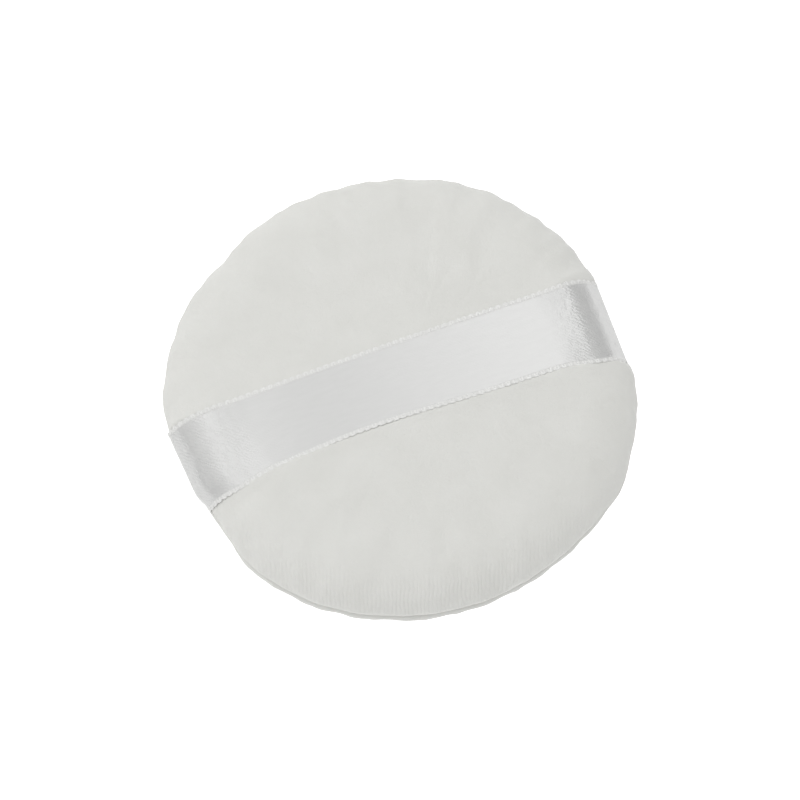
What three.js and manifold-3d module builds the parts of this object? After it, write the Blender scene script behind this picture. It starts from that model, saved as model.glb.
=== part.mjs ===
// A round velour powder puff with a satin finger strap, in millimetres, with +Z up.
// The origin is the middle of the flat spot that the puff rests on, and +X runs along the strap.
// Two velour covers are sewn together round a sponge core, and the strap's two ends are caught in that seam.
import * as THREE from "three";
import { mergeVertices } from "three/addons/utils/BufferGeometryUtils.js";
import Module from "manifold-3d";

const wasm = await Module();
wasm.setup();

// Sizes of the pad. The back carries the strap, and the face takes the powder.
const PAD_DIAMETER = 80;
const BACK_EDGE_RADIUS = 5.5; // rounding of the rim above the seam
const BACK_CROWN = 1.8; // rise of the back from its rounded rim to its middle
const FACE_EDGE_RADIUS = 4.6; // rounding of the rim below the seam
const FACE_CROWN = 1.6; // drop of the face from its rounded rim to the flat spot
const REST_DIAMETER = 40; // flat spot that the puff rests on
const DRAW_IN = 2; // how far the strap pulls the rim in at its two ends
const DRAW_IN_SHARPNESS = 40; // exponent that joins the straightened stretch to the round rim
const DRAW_IN_FADE = 4; // exponent by which the pull fades towards the middle of the pad

// Sizes of the sewn covers and of the core.
const COVER_THICKNESS = 1.2; // velour backing and pile
const SEAM_GAP = 0.3; // between the two covers where they are sewn together
const STITCH_CLEARANCE = 0.8; // from a thread that runs beside the rim to the cover's inner side
const SEAM_ALLOWANCE = 3.5; // cloth that is turned in past the stitch line
const CORE_EDGE_RADIUS = 2; // rounding of the sponge's edges

// Sizes of the strap.
const STRAP_WIDTH = 14.2;
const STRAP_THICKNESS = 0.4;
const STRAP_CLEARANCE = 0.4; // between the strap and the back of the pad
const SPAN_LENGTH = 28; // middle stretch, the one that fingers lift

// Sizes of the sewing threads.
const THREAD_WIDTH = 0.35;
const STITCH_LENGTH = 4;
const STITCH_LOOP = 0.6; // between the two legs of a lockstitch in its needle hole
const TURNING_GAP = 26; // opening that the puff was turned and filled through, sewn up last
const TACK_MARGIN = 2.3; // from the strap's edges to the extra row of stitches across each of its ends
const TACK_CROSSINGS = 4; // times that a tack's thread goes through the cloth

const FIT_GAP = 0.3; // between pieces that lie against each other

// How finely round shapes are cut into flats.
const TURN_STEPS = 60;
const CROWN_STEPS = 4;
const RIM_STEPS = 4;
const FOLD_STEPS = 3;
const SPAN_STEPS = 8;

const VELOUR = new THREE.MeshStandardMaterial({ color: 0xdadbd6, roughness: 0.95, metalness: 0 });
const SPONGE = new THREE.MeshStandardMaterial({ color: 0xf0ede2, roughness: 1, metalness: 0 });
const SATIN = new THREE.MeshStandardMaterial({ color: 0xdcdcda, roughness: 0.35, metalness: 0 });
const THREAD = new THREE.MeshStandardMaterial({ color: 0xe6e6e2, roughness: 0.6, metalness: 0 });

// Sizes that follow from those above.
const RIM = PAD_DIAMETER / 2;
const SEAM_HEIGHT = FACE_EDGE_RADIUS + FACE_CROWN;
const FOLD_HEIGHT = SEAM_GAP / 2 + COVER_THICKNESS; // of the turned-in cloth's inner side
const RUN_HEIGHT = FOLD_HEIGHT + FIT_GAP + THREAD_WIDTH / 2; // of a thread that runs on that side
const STRAP_OFFSET = STRAP_CLEARANCE + STRAP_THICKNESS / 2;
const BACK = { edge: BACK_EDGE_RADIUS, height: BACK_EDGE_RADIUS + BACK_CROWN, flat: 0, up: 1 };
const FACE = { edge: FACE_EDGE_RADIUS, height: SEAM_HEIGHT, flat: REST_DIAMETER / 2, up: -1 };
const FOLD_RADIUS = RIM - COVER_THICKNESS; // of the centre of the fold that turns each cover in at the seam

// Radius of the circle that the centre of a half's rounded rim lies on, so that its fold reaches the rim's width.
function rimCentre(half) {
  return FOLD_RADIUS - Math.sqrt((half.edge - COVER_THICKNESS) ** 2 - FOLD_HEIGHT ** 2);
}

// Radius at which a thread's run would touch the inside of a half's rounded rim.
function runLimit(half) {
  const top = RUN_HEIGHT + THREAD_WIDTH / 2;
  return rimCentre(half) + Math.sqrt((half.edge - COVER_THICKNESS) ** 2 - top ** 2) - THREAD_WIDTH / 2;
}

const STITCH_RADIUS = Math.min(runLimit(BACK), runLimit(FACE)) - STITCH_CLEARANCE;
const ALLOWANCE_EDGE = STITCH_RADIUS - SEAM_ALLOWANCE;
const TACK_RADIUS = STITCH_RADIUS - SEAM_ALLOWANCE / 2;
const TACK_LENGTH = STRAP_WIDTH - 2 * TACK_MARGIN;
const CORE_RADIUS = ALLOWANCE_EDGE - FIT_GAP;

// The rim is a circle joined to the straight line that the strap pulls it to. A point moves in with the rim beyond it.
const STRAIGHT = RIM * ((1 - DRAW_IN / RIM) ** -DRAW_IN_SHARPNESS - 1) ** (-1 / DRAW_IN_SHARPNESS);
function drawIn(point) {
  const radius = Math.hypot(point.x, point.y);
  if (radius === 0) return point;
  const past = (RIM * Math.abs(point.x)) / radius / STRAIGHT;
  const pull = RIM * (1 - (1 + past ** DRAW_IN_SHARPNESS) ** (-1 / DRAW_IN_SHARPNESS));
  const kept = 1 - (pull * Math.min(1, radius / RIM) ** DRAW_IN_FADE) / radius;
  point.x *= kept;
  point.y *= kept;
  return point;
}

// Radius of the arc over the middle of a half, tangent to the rounded rim and to the flat spot.
function crownRadius(half) {
  const reach = rimCentre(half) - half.flat;
  return (reach ** 2 + half.height ** 2 - half.edge ** 2) / (2 * (half.height - half.edge));
}

// Radius and height above the seam plane of points on a half's crown, set in from its outer surface.
function crownPoint(half, inset, angle) {
  const crown = crownRadius(half);
  return [
    half.flat + (crown - inset) * Math.sin(angle),
    half.height - crown + (crown - inset) * Math.cos(angle),
  ];
}

function rimPoint(half, inset, angle) {
  return [rimCentre(half) + (half.edge - inset) * Math.sin(angle), (half.edge - inset) * Math.cos(angle)];
}

// Angles from straight up: where the crown meets the rim, and where the rim meets the fold at the seam.
function crownEnd(half) {
  return Math.asin((rimCentre(half) - half.flat) / (crownRadius(half) - half.edge));
}

function rimEnd(half) {
  return Math.acos(FOLD_HEIGHT / (half.edge - COVER_THICKNESS));
}

// Points at even steps from one angle to another, leaving out the first.
function steps(from, to, count, pointAt) {
  return Array.from({ length: count }, (_, i) => pointAt(from + ((to - from) * (i + 1)) / count));
}

// The skin of a half from its middle out to the fold, set in from the outer surface.
function skin(half, inset) {
  return [
    ...(half.flat > 0 ? [[0, half.height - inset]] : []),
    crownPoint(half, inset, 0),
    ...steps(0, crownEnd(half), CROWN_STEPS, (angle) => crownPoint(half, inset, angle)),
    ...steps(crownEnd(half), rimEnd(half), RIM_STEPS, (angle) => rimPoint(half, inset, angle)),
  ];
}

// The fold that turns the cloth in at the seam, at a distance outside the cover's own surface.
function fold(half, outside) {
  const radius = COVER_THICKNESS + outside;
  return steps(rimEnd(half), Math.PI, FOLD_STEPS, (angle) => [
    FOLD_RADIUS + radius * Math.sin(angle),
    FOLD_HEIGHT + radius * Math.cos(angle),
  ]);
}

// Turns a section of (radius, height above the seam plane) round the pad's axis, with the rim drawn in.
function turned(section, up) {
  const points = section.map(([radius, height]) => new THREE.Vector2(radius, SEAM_HEIGHT + up * height));
  const geometry = new THREE.LatheGeometry(up > 0 ? points.reverse() : points, TURN_STEPS);
  return placed(geometry.rotateX(Math.PI / 2), drawIn);
}

// A geometry with each of its points moved, as a closed solid that can be cut.
function placed(geometry, move = (point) => point) {
  const bare = new THREE.BufferGeometry();
  const source = geometry.getAttribute("position");
  const positions = new Float32Array(source.count * 3);
  const point = new THREE.Vector3();
  for (let i = 0; i < source.count; i += 1) {
    move(point.fromBufferAttribute(source, i)).toArray(positions, 3 * i);
  }
  bare.setAttribute("position", new THREE.BufferAttribute(positions, 3));
  bare.setIndex(geometry.index ? geometry.index.clone() : null);
  const merged = mergeVertices(bare, 1e-4);
  return new wasm.Manifold(
    new wasm.Mesh({
      numProp: 3,
      vertProperties: merged.getAttribute("position").array,
      triVerts: new Uint32Array(merged.index.array),
    }),
  );
}

function mesh(name, solid, material) {
  const { vertProperties, triVerts, numProp } = solid.getMesh();
  const positions = new Float32Array((vertProperties.length / numProp) * 3);
  for (let i = 0; i < positions.length / 3; i += 1) {
    positions.set(vertProperties.subarray(i * numProp, i * numProp + 3), 3 * i);
  }
  const geometry = new THREE.BufferGeometry();
  geometry.setAttribute("position", new THREE.BufferAttribute(positions, 3));
  geometry.setIndex(new THREE.BufferAttribute(new Uint32Array(triVerts), 1));
  geometry.computeVertexNormals();
  const made = new THREE.Mesh(geometry, material);
  made.name = name;
  return made;
}

// Stitches are placed by their angle round the pad. The lockstitches stop short of the turning gap at +Y.
const GAP_ANGLE = TURNING_GAP / STITCH_RADIUS;
const SEWN_ANGLE = 2 * Math.PI - GAP_ANGLE;
const SEAM_STITCHES = Math.round((SEWN_ANGLE * STITCH_RADIUS) / STITCH_LENGTH);
const CLOSING_STITCHES = Math.round(TURNING_GAP / STITCH_LENGTH);

// Angles of the middles of equal shares of an arc.
function shares(from, arc, count) {
  return Array.from({ length: count }, (_, i) => from + (arc * (i + 0.5)) / count);
}

const SEAM_ANGLES = shares(Math.PI / 2 + GAP_ANGLE / 2, SEWN_ANGLE, SEAM_STITCHES);
const CLOSING_ANGLES = shares(Math.PI / 2 - GAP_ANGLE / 2, GAP_ANGLE, CLOSING_STITCHES);

function tackAngles(middle) {
  return Array.from({ length: TACK_CROSSINGS }, (_, i) => {
    const along = (i / (TACK_CROSSINGS - 1) - 0.5) * TACK_LENGTH;
    return middle + along / TACK_RADIUS;
  });
}

const TACKS = [
  { name: "strap_tack_right", angles: tackAngles(0) },
  { name: "strap_tack_left", angles: tackAngles(Math.PI) },
];

// A needle hole through both turned-in layers, long enough for the legs of thread that pass through it.
function needleHole(radius, angle, legSpread) {
  const width = THREAD_WIDTH + 2 * FIT_GAP;
  const hole = new THREE.BoxGeometry(width, legSpread + width, 2 * (FOLD_HEIGHT + FIT_GAP));
  const centre = drawIn(new THREE.Vector3(radius * Math.cos(angle), radius * Math.sin(angle), 0));
  hole.rotateZ(angle).translate(centre.x, centre.y, SEAM_HEIGHT);
  return placed(hole);
}

const NEEDLE_HOLES = wasm.Manifold.union([
  ...SEAM_ANGLES.map((angle) => needleHole(STITCH_RADIUS, angle, STITCH_LOOP)),
  ...CLOSING_ANGLES.map((angle) => needleHole(STITCH_RADIUS, angle, 0)),
  ...TACKS.flatMap(({ angles }) => angles.map((angle) => needleHole(TACK_RADIUS, angle, 0))),
]);

// A thread of square section along corners given as (angle round the pad, height above the seam plane).
function thread(radius, corners) {
  const flat = corners.map(([angle, height]) => new THREE.Vector2(angle * radius, height));
  const heading = flat.slice(1).map((corner, i) => corner.clone().sub(flat[i]).normalize());
  const half = THREAD_WIDTH / 2;
  const positions = [];
  flat.forEach((corner, i) => {
    const before = heading[Math.max(i - 1, 0)];
    const after = heading[Math.min(i, heading.length - 1)];
    const mitre = new THREE.Vector2(-before.y - after.y, before.x + after.x);
    mitre.divideScalar(1 + before.dot(after)).multiplyScalar(half);
    for (const [out, side] of [[half, 1], [half, -1], [-half, -1], [-half, 1]]) {
      const angle = (corner.x + side * mitre.x) / radius;
      const point = drawIn(new THREE.Vector3(Math.cos(angle), Math.sin(angle), 0).multiplyScalar(radius + out));
      positions.push(point.x, point.y, SEAM_HEIGHT + corner.y + side * mitre.y);
    }
  });
  const index = [0, 2, 1, 0, 3, 2];
  for (let ring = 0; ring + 1 < flat.length; ring += 1) {
    for (let k = 0; k < 4; k += 1) {
      const a = 4 * ring + k;
      const b = 4 * ring + ((k + 1) % 4);
      index.push(a, b, b + 4, a, b + 4, a + 4);
    }
  }
  const last = 4 * (flat.length - 1);
  index.push(last, last + 1, last + 2, last, last + 2, last + 3);
  const geometry = new THREE.BufferGeometry();
  geometry.setAttribute("position", new THREE.BufferAttribute(new Float32Array(positions), 3));
  geometry.setIndex(index);
  return placed(geometry);
}

// One of a lockstitch's two threads: it runs along its own side and loops into each needle hole towards the seam plane.
function lockstitchThread(side) {
  const run = side * RUN_HEIGHT;
  const turn = side * (FIT_GAP + THREAD_WIDTH / 2);
  const leg = STITCH_LOOP / 2 / STITCH_RADIUS;
  const corners = SEAM_ANGLES.flatMap((angle) => [
    [angle - leg, run],
    [angle - leg, turn],
    [angle + leg, turn],
    [angle + leg, run],
  ]);
  return thread(STITCH_RADIUS, withTails(corners, STITCH_RADIUS));
}

// One thread that goes through both layers at each angle, from one side to the other and back.
function runningThread(radius, angles) {
  const corners = angles.flatMap((angle, i) => {
    const side = i % 2 === 0 ? RUN_HEIGHT : -RUN_HEIGHT;
    return [[angle, side], [angle, -side]];
  });
  return thread(radius, withTails(corners, radius));
}

// A thread's corners with a short tail before the first and after the last.
function withTails(corners, radius) {
  const tail = (2 * THREAD_WIDTH) / radius;
  const [firstAngle, firstHeight] = corners[0];
  const [lastAngle, lastHeight] = corners[corners.length - 1];
  return [[firstAngle - tail, firstHeight], ...corners, [lastAngle + tail, lastHeight]];
}

// A cover: its outer skin, the fold at the seam, the turned-in allowance and the inner skin.
function cover(half) {
  const section = [
    ...skin(half, 0),
    ...fold(half, 0),
    [ALLOWANCE_EDGE, SEAM_GAP / 2],
    [ALLOWANCE_EDGE, FOLD_HEIGHT],
    ...skin(half, COVER_THICKNESS).reverse(),
  ];
  return turned(section, half.up).subtract(NEEDLE_HOLES);
}

// The sponge core: a disc with rounded edges that fills the covers inside their turned-in allowances.
function core() {
  const inset = COVER_THICKNESS + FIT_GAP;
  const shoulder = CORE_RADIUS - CORE_EDGE_RADIUS;
  const halfSection = (half) => {
    const last = Math.asin((shoulder - half.flat) / (crownRadius(half) - inset));
    const [, height] = crownPoint(half, inset, last);
    return [
      ...(half.flat > 0 ? [[0, half.height - inset]] : []),
      crownPoint(half, inset, 0),
      ...steps(0, last, CROWN_STEPS, (angle) => crownPoint(half, inset, angle)),
      ...steps(0, Math.PI / 2, RIM_STEPS, (angle) => [
        shoulder + CORE_EDGE_RADIUS * Math.sin(angle),
        height - CORE_EDGE_RADIUS * (1 - Math.cos(angle)),
      ]),
    ];
  };
  const below = halfSection(FACE).map(([radius, height]) => [radius, -height]);
  return turned([...halfSection(BACK), ...below.reverse()], 1);
}

// The line down the middle of the strap's right half: over the crown from an angle, round the rim, into the seam.
function strapLegLine(from) {
  const line = [
    crownPoint(BACK, -STRAP_OFFSET, from),
    ...steps(from, crownEnd(BACK), CROWN_STEPS, (angle) => crownPoint(BACK, -STRAP_OFFSET, angle)),
    ...steps(crownEnd(BACK), rimEnd(BACK), RIM_STEPS, (angle) => rimPoint(BACK, -STRAP_OFFSET, angle)),
    ...fold(BACK, STRAP_OFFSET),
  ];
  const [, tailHeight] = line[line.length - 1];
  return [...line, [ALLOWANCE_EDGE, tailHeight]];
}

function strapSpanLine(to) {
  return [
    crownPoint(BACK, -STRAP_OFFSET, -to),
    ...steps(-to, to, SPAN_STEPS, (angle) => crownPoint(BACK, -STRAP_OFFSET, angle)),
  ];
}

// A band of the strap's width and thickness along a line of (distance along X, height above the seam plane).
function band(line) {
  const middle = line.map(([along, height]) => {
    const point = drawIn(new THREE.Vector3(along, 0, 0));
    return new THREE.Vector2(point.x, SEAM_HEIGHT + height);
  });
  const heading = middle.slice(1).map((point, i) => point.clone().sub(middle[i]).normalize());
  const side = (sign) =>
    middle.map((point, i) => {
      const before = heading[Math.max(i - 1, 0)];
      const after = heading[Math.min(i, heading.length - 1)];
      const mitre = new THREE.Vector2(-before.y - after.y, before.x + after.x);
      mitre.divideScalar(1 + before.dot(after));
      return point.clone().addScaledVector(mitre, (sign * STRAP_THICKNESS) / 2);
    });
  const outline = new THREE.Shape([...side(-1), ...side(1).reverse()]);
  const geometry = new THREE.ExtrudeGeometry(outline, { depth: STRAP_WIDTH, bevelEnabled: false });
  return geometry.rotateX(Math.PI / 2).translate(0, STRAP_WIDTH / 2, 0);
}

// Angle over the crown at a distance along the strap from its middle.
function strapAngle(along) {
  return along / (crownRadius(BACK) + STRAP_OFFSET);
}

function strapLeg(turn) {
  const line = strapLegLine(strapAngle(SPAN_LENGTH / 2 + FIT_GAP));
  return placed(band(line).rotateZ(turn)).subtract(NEEDLE_HOLES);
}

// Room in the face's turned-in cloth for the two ends of the strap.
function strapPocket() {
  const tailLow = SEAM_GAP / 2 - STRAP_CLEARANCE - STRAP_THICKNESS - FIT_GAP;
  const height = RIM;
  const pocket = new THREE.BoxGeometry(PAD_DIAMETER + STRAP_OFFSET, STRAP_WIDTH + 2 * FIT_GAP, height);
  return placed(pocket.translate(0, 0, SEAM_HEIGHT + tailLow + height / 2));
}

const puff = new THREE.Group();
puff.add(
  mesh("back_cover", cover(BACK), VELOUR),
  mesh("face_cover", cover(FACE).subtract(strapPocket()), VELOUR),
  mesh("foam_core", core(), SPONGE),
  mesh("strap_span", placed(band(strapSpanLine(strapAngle(SPAN_LENGTH / 2)))), SATIN),
  mesh("strap_leg_right", strapLeg(0), SATIN),
  mesh("strap_leg_left", strapLeg(Math.PI), SATIN),
  mesh("seam_needle_thread", lockstitchThread(1), THREAD),
  mesh("seam_bobbin_thread", lockstitchThread(-1), THREAD),
  mesh("closing_thread", runningThread(STITCH_RADIUS, CLOSING_ANGLES), THREAD),
  ...TACKS.map(({ name, angles }) => mesh(name, runningThread(TACK_RADIUS, angles), THREAD)),
);

export default puff;
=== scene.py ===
"""The looks of a round velour powder puff with a satin finger strap, dressed over its solids, in metres."""
import math

import bpy
import numpy as np
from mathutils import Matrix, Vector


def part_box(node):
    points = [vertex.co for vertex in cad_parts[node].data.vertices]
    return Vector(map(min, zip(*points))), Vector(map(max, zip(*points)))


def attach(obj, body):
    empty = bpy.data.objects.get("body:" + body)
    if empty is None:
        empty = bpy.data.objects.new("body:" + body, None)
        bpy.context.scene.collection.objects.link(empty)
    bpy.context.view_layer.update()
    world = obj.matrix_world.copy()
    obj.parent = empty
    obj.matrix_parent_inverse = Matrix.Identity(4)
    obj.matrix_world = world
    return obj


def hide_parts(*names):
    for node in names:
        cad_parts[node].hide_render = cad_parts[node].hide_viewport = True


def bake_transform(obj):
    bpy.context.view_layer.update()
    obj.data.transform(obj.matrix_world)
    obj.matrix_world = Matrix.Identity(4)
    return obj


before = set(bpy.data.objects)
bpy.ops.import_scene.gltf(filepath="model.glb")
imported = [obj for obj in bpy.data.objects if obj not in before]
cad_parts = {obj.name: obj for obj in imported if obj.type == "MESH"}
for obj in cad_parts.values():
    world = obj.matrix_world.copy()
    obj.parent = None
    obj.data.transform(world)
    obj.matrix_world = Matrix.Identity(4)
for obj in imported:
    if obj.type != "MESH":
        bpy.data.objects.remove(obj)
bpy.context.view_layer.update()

MM = 0.001

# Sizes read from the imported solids.
back_low, back_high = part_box("back_cover")
face_low, face_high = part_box("face_cover")
span_low, span_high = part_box("strap_span")
leg_low, leg_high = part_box("strap_leg_right")
thread_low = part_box("seam_needle_thread")[0]
RIM = back_high.y
SEAM = (back_low.z + face_high.z) / 2
BACK_HEIGHT = back_high.z - SEAM
FACE_HEIGHT = SEAM - face_low.z
STRAP_WIDTH = span_high.y - span_low.y
SPAN_END = (span_high.x + leg_low.x) / 2

# Shape of the pad, as sewn.
BACK_SHOULDER = (11 * MM, 6.5 * MM)
FACE_SHOULDER = (4.6 * MM, 4.6 * MM)
REST_RADIUS = 20 * MM
COVER = 1.2 * MM
SEAM_GAP = 0.12 * MM
ALLOWANCE_EDGE = 33.95 * MM

# Rows and columns of the covers. The crown's rows lie at shares of its angle, on the back (1) closest by
# the strap's edges. A share of the rows round the strap's own shoulder lies on its bend.
TURN_STEPS = 720
TURN_CROWDING = 0.6
CROWN_SHARES = {
    1: np.concatenate([np.linspace(0.01, 0.18, 7), np.linspace(0.19, 0.4, 23), np.linspace(0.42, 1, 24)]),
    -1: np.linspace(0, 1, 36),
}
FLAT_ROWS = 12
RIM_ROWS = 36
FOLD_ROWS = 18
SHOULDER_SHARE = 0.7
INNER_FLAT_ROWS = 4
INNER_CROWN_STRIDE = 5
INNER_RIM_ROWS = 8

# Small lumps of the pile, which fade out beside the seam and at the resting spot. The knit's ribs come up
# from one radius to another, and from one cosine of the angle from the front to another.
LUMP_HEIGHT = 0.015 * MM
LUMP_LENGTH = 2.2 * MM
LUMP_FULL_HEIGHT = 2 * MM
REST_FADE = 6 * MM
STRETCH_RADII = (32 * MM, 38.5 * MM)
STRETCH_FACING = (0.3, 0.95)

# How the strap, sewn in a little aside, is drawn narrow at its front edge away from its ends, presses the
# pile and pulls the rim straight beside its ends. The pile stands up as a ridge beside its front edge.
STRAP_ASIDE = -1.53 * MM
RIBBON_WIDTH = STRAP_WIDTH + 1.5 * MM
NARROWED = 1.0 * MM
NARROWED_TO = (25 * MM, 34 * MM)
BOW = 1.0 * MM
BOW_MIDDLE = -8 * MM
BOW_SPREAD = 17 * MM
PRESS = 0.2 * MM
PILE_UNDER_EDGE = 0.8 * MM
PILE_SLOPE = -0.15 * MM
RIDGE = 0.12 * MM
RIDGE_PLACE = 0.2 * MM
RIDGE_SPREAD = 1.1 * MM
RIDGE_STEEPNESS = 4
DRAW_IN = 1.4 * MM
DRAW_IN_SHARPNESS = 40
DRAW_IN_FADE = 4

# How each end, right (1) and left (-1), pulls the seam in within its width, bends round its own shoulder,
# has the pad bulge beside its front edge, is sewn aslant, has its front corner tucked in and is twisted, by
# a rise per distance across.
PULL = {1: 0.87 * MM, -1: 0}
PULL_SLOPE = 0.9 * MM
PULL_HEIGHTS = (3 * MM, 6 * MM)
SEAT_SHOULDER = {1: (7 * MM, 6.4 * MM), -1: (9 * MM, 6.4 * MM)}
TAUT_LEAN = {1: math.radians(50), -1: math.radians(52)}
SEAT_BLEND = (18 * MM, 28 * MM)
BULGE = {1: 0.05 * MM, -1: 0.25 * MM}
BULGE_START = (8 * MM, 24 * MM)
BULGE_SPREAD = 6 * MM
SLANT = {1: 0.05, -1: -0.08}
TUCK = {1: 0, -1: 1.2 * MM}
TUCK_WIDTH = 4.2 * MM
TWIST = {1: 0.07, -1: 0.05}
TWIST_START = (25.5 * MM, 33 * MM)
TWIST_FADE = 5 * MM
TWIST_DEPTH = 4 * MM

# Where the sewn edge runs a little flat, or full if the depth is negative: each is (angle from +X in
# degrees, depth in mm, spread in degrees).
EDGE_FLATS = (
    (52, -0.7, 12),
    (121, 0.8, 7),
    (168, -0.9, 9),
    (198, 1.2, 6),
    (230, -0.35, 12),
    (285, 0.3, 12),
    (314, -0.6, 6),
)

# Swelling of the stuffed covers, by simulation.
SWELL_SCALE = 10
SWELL_COLUMNS = 144
SWELL_CROWN_ROWS = 14
SWELL_RIM_ROWS = 9
SWELL_FOLD_ROWS = 2
SWELL_FRAMES = 20
SWELL_PRESSURE = 4
SWELL_SPARE_CLOTH = 0.03
SWELL_UNEVEN = 0.03 * MM
SWELL_UNEVEN_LENGTH = 9 * MM
SWELL_START = 8 * MM
SWELL_CAP = 0.4 * MM
SWELL_SHOWN = 0.4

# Shape of the ribbon, and how many points its middle line and its section have.
RIBBON_THICKNESS = 0.2 * MM
RIBBON_OFFSET = 0.24 * MM
END_ROOM = RIBBON_OFFSET + RIBBON_THICKNESS / 2 - SEAM_GAP
EDGE_ROUND = 0.25 * MM
EDGE_TAPER = 0.8
BORDER_WIDTH = 0.85 * MM
BORDER_FADE = (0.75 * BORDER_WIDTH, 0.95 * BORDER_WIDTH)
GROOVE = 0.03 * MM
GROOVE_SPREAD = 3 * GROOVE
SHARP_ANGLE = math.radians(70)
CROWN_POINTS = 360
SHOULDER_POINTS = 219
FOLD_POINTS = 80
TAIL_POINTS = 30
BORDER_POINTS = 18
MIDDLE_POINTS = 25

# The weft's loops at the ribbon's edges, which wander by waves of (height, length), fuller to the right.
LOOP_PITCH = 1.24 * MM
LOOP_RADIUS = 0.25 * MM
LOOP_CORD = 0.18 * MM
LOOP_HEIGHT = 0.06 * MM
LOOP_STEPS = 15
LOOP_WANDER = ((0.1 * MM, 2.3 * MM), (0.06 * MM, 0.7 * MM))
LOOP_FULLNESS = 0.68
LOOP_FULLER = 0.22
LOOP_FULLER_AT = 20 * MM
LOOP_VARIED = 0.1
LOOP_VARIED_LENGTHS = (1.9 * MM, 3.7 * MM)
SCALLOP = 0.18 * MM

# The satin's floats, their stagger from row to row, and how strongly they show before and after the
# ribbon's bend, which starts and ends at distances along it in mm, as in its UV map.
FLOAT_LENGTH = 0.8 * MM
FLOAT_WIDTH = 0.3 * MM
FLOAT_STAGGER = 0.4
FLOAT_JITTER = 2.5
FLOAT_RELIEF = 0.04 * MM
BEND_START = 26.0
BEND_END = 32.0
RELIEF_FLAT = 0.1
RELIEF_BENT = 0.75

# Gloss of the satin, and of its matte borders.
SATIN_ROUGHNESS = 0.32
SATIN_SPECULAR = 0.9
BORDER_ROUGHNESS = 0.7
BORDER_SPECULAR = 0.3

# Pile of the velour.
RIB_PITCH = 0.66 * MM
RIB_SHARE = 0.9
MOTTLE_SIZE = 7 * MM
PILE_GRAIN = 0.4 * MM
PILE_RELIEF = 0.12 * MM

# Sizes of the sponge and of the sewing threads.
SPONGE_GAP = 0.3 * MM
SPONGE_EDGE = 2 * MM
SPONGE_EDGE_POINTS = 9
SPONGE_FLAT_POINTS = 21
SPONGE_CROWN_POINTS = {1: 50, -1: 30}
SPONGE_POLE_SHARE = 1 / 160
SPONGE_COLUMNS = 480
SPONGE_CELL = 1.4 * MM
SPONGE_WALL = 0.5
SPONGE_PIT = 0.12 * MM
SPONGE_GRAIN = 0.7 * MM
SPONGE_RELIEF = 0.3 * MM
THREAD_WIDTH = 0.35 * MM
THREAD_LOBES = 0.22
THREAD_LAY = 1.1 * MM
THREAD_STEP = 0.11 * MM
THREAD_SIDES = 10
THREAD_EASING = 4
THREAD_GRAIN = 0.12 * MM
THREAD_RELIEF = 0.04 * MM
STITCH_RADIUS = -thread_low.y - THREAD_WIDTH / 2
STITCH_LENGTH = 4 * MM
STITCH_LOOP = 0.6 * MM
TURNING_GAP = 26 * MM
TACK_RADIUS = (STITCH_RADIUS + ALLOWANCE_EDGE) / 2
TACK_LENGTH = STRAP_WIDTH - 4.6 * MM
TACK_CROSSINGS = 4

# The photograph's view.
VIEW_AZIMUTH = math.radians(-21)
VIEW_ELEVATION = math.radians(66.9)
VIEW_DISTANCE = 0.3773
VIEW_SIDE = 0.25 * MM
VIEW_RISE = 1.34 * MM
LENS = 100
SENSOR = 36
NEAREST = 0.01

# The stage: a glowing floor, and panels overhead, each with its middle's x, its width and its radiance.
FLOOR_REACH = 3.0
FLOOR_GLOW = 1.35
PANEL_Y = 0.28
PANEL_HEIGHT = 0.75
PANEL_DEPTH = 1.1
PANELS = {
    "left_box": (-0.2975, 0.505, 1.73),
    "middle_box": (0.02, 0.13, 0.62),
    "inner_right_box": (0.1425, 0.115, 1.3),
    "right_box": (0.33, 0.26, 1.88),
}

# Halvings in the search for a root, and a least radius and angle, so that nothing is divided by zero.
HALVINGS = 60
LEAST_RADIUS = 1e-9
LEAST_ANGLE = 1e-4


def smooth(low, high, value):
    """0 below low, 1 above high, and a smooth S between them."""
    t = np.clip((value - low) / (high - low), 0, 1)
    return t * t * (3 - 2 * t)


def spline(values, spots, mode):
    """Values along their first axis at fractional spots, on the cubic through each four neighbours."""
    first = np.floor(spots).astype(int)
    t = (spots - first).reshape((-1,) + (1,) * (values.ndim - 1))
    a, b, c, d = (np.take(values, first + k, axis=0, mode=mode) for k in (-1, 0, 1, 2))
    return b + t / 2 * (c - a + t * (2 * a - 5 * b + 4 * c - d + t * (3 * (b - c) + d - a)))


def waves(points, wavelength, seed, count=48, shares=(0.7, 1.4)):
    """A random rolling field of unit spread: a sum of plane waves of random direction and phase, with wave
    numbers between two shares of the one that the wavelength gives."""
    draw = np.random.default_rng(seed)
    direction = draw.normal(size=(3, count))
    direction /= np.linalg.norm(direction, axis=0)
    number = 2 * math.pi / wavelength * draw.uniform(*shares, count)
    phase = draw.uniform(0, 2 * math.pi, count)
    return np.cos(points @ (direction * number) + phase).sum(-1) * math.sqrt(2 / count)


def arc_length(line):
    """Distance along a line of points from its first one."""
    return np.concatenate([[0], np.cumsum(np.linalg.norm(np.diff(line, axis=0), axis=1))])


def enclosed(vertices, faces):
    """Volume inside faces that point outwards, negative if inwards: a sum over fans of triangles."""
    return sum(
        np.einsum("ij,ij", vertices[part[:, 0]], np.cross(vertices[part[:, k]], vertices[part[:, k + 1]])) / 6
        for part in faces
        for k in range(1, part.shape[1] - 1)
    )


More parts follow.
